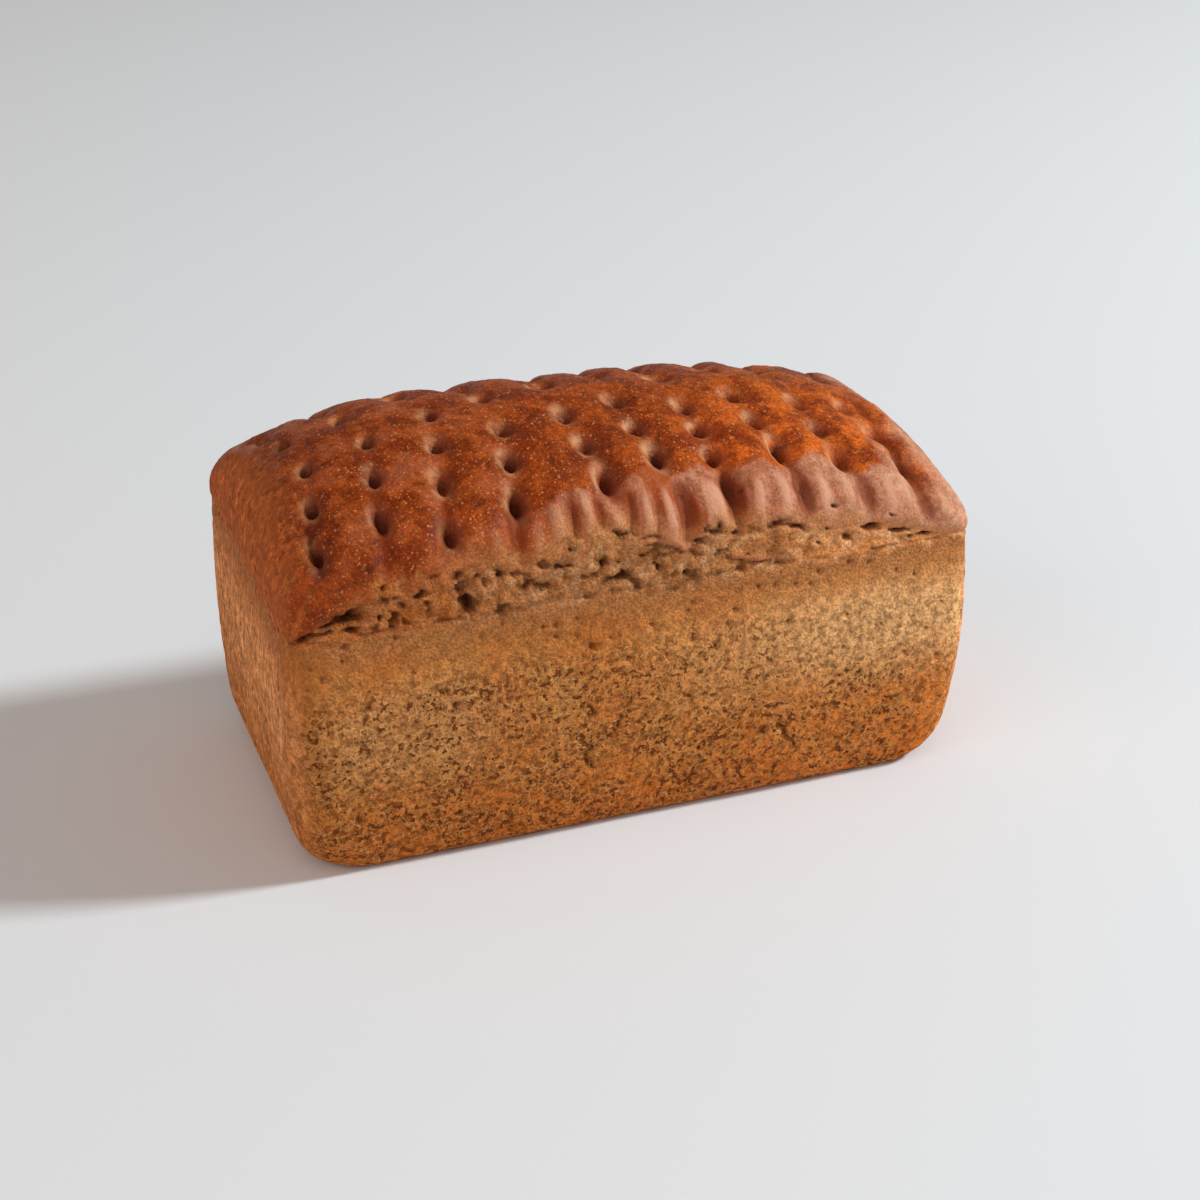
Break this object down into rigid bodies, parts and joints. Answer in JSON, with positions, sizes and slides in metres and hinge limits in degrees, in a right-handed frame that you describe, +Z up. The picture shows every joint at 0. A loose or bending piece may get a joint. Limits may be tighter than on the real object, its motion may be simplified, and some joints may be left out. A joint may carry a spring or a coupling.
{
  "type": "tin loaf",
  "caption": "Whole uncut tin loaf of dense bread, with straight walls, a torn band above the tin line and a domed crust docked with holes.",
  "frame": {"origin": "on the table, under the middle of the loaf", "axes": "+X along the loaf, +Z up, and the long side seen first faces -Y"},
  "size_m": [0.2331, 0.1245, 0.1306],
  "materials": {
    "crust": "browned bread crust, matte on the walls and faintly glossy on the dome"
  },
  "bodies": {
    "root": {"loaf": "crust"}
  },
  "joints": []
}
